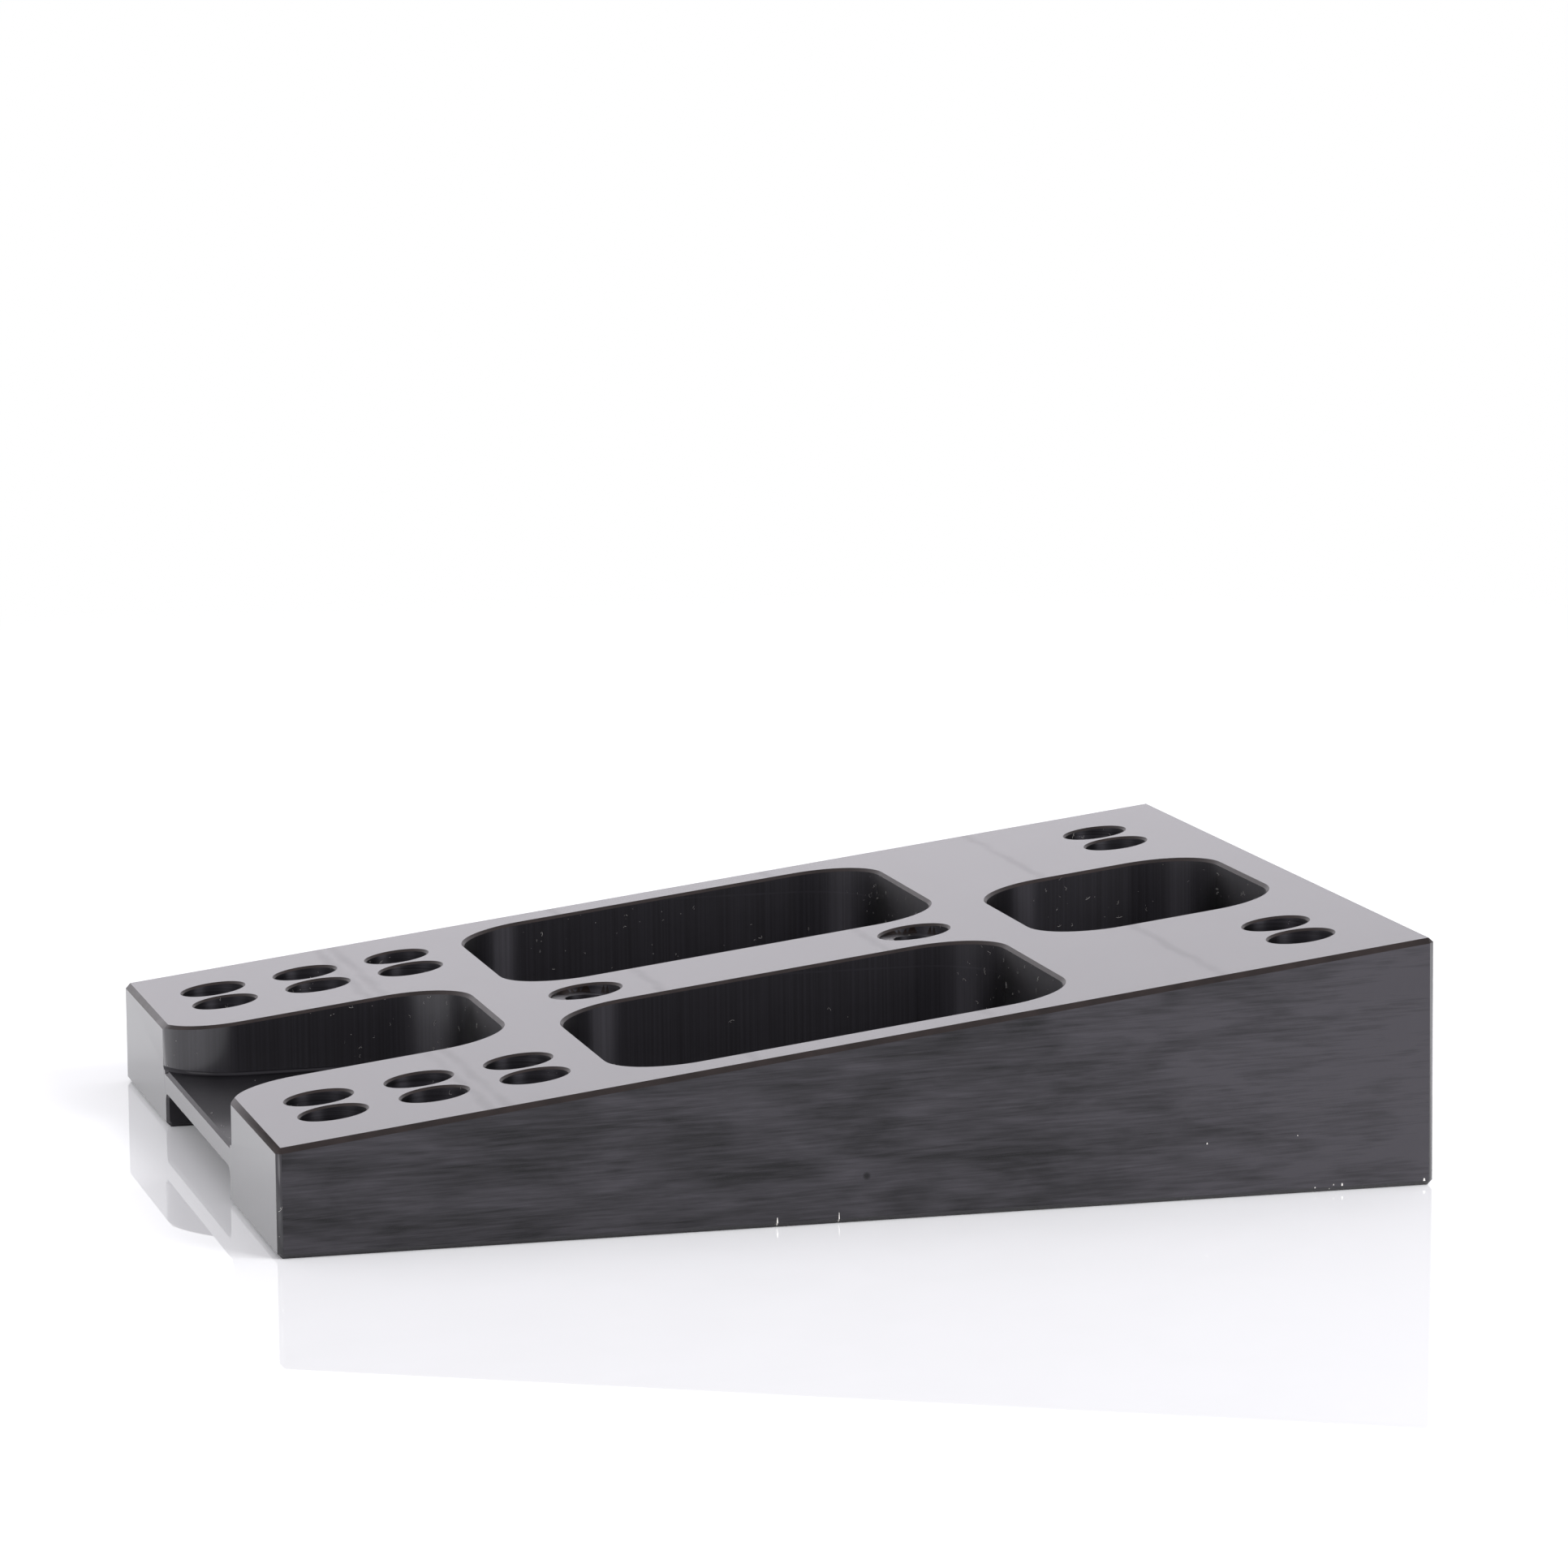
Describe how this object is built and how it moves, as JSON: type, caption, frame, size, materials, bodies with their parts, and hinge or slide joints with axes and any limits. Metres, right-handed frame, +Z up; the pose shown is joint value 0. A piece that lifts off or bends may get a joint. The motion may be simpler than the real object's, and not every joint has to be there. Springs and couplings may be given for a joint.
{
  "type": "machined mounting block",
  "caption": "Wedge-shaped milled block with closed windows, a bay open through its thin end, paired clearance holes and a channel underneath, for mounting a part at a shallow angle.",
  "frame": {"origin": "middle of the base, at the centre of the block's length and width, on the plane it stands on", "axes": "+X along the length towards the thick end, +Y across the width, +Z up from the base"},
  "size_m": [0.15, 0.12, 0.0321],
  "materials": {
    "anodised_aluminium": "black anodised over a milled surface, satin"
  },
  "bodies": {
    "root": {"block": "anodised_aluminium"}
  },
  "joints": []
}
